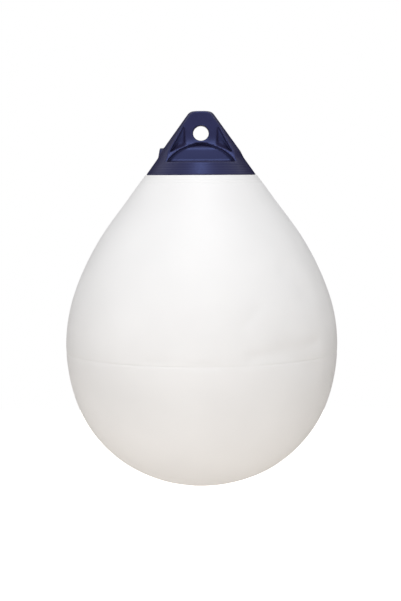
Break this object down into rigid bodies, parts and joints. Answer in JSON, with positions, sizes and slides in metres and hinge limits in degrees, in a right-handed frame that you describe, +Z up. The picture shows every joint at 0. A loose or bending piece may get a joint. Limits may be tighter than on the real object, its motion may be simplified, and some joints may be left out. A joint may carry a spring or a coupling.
{
  "type": "ball fender",
  "caption": "Inflatable pear-shaped ball fender with a solid blue rope hold, a rope eye and an air valve.",
  "frame": {"origin": "centre of the rope eye", "axes": "+Z up out of the rope hold, +Y along the eye's bore towards the back, +X to the right seen from the front, with the valve on the -X side"},
  "size_m": [0.4334, 0.4334, 0.5957],
  "materials": {
    "ball_skin": "semi-gloss soft vinyl",
    "rope_hold": "satin solid blue vinyl",
    "valve_plastic": "matte hard plastic",
    "screw_plastic": "satin hard plastic",
    "seal_rubber": "matte black rubber"
  },
  "bodies": {
    "root": {"ball_body": "ball_skin", "rope_hold": "rope_hold", "valve_insert": "valve_plastic", "valve_screw": "screw_plastic", "valve_seal": "seal_rubber"}
  },
  "joints": []
}
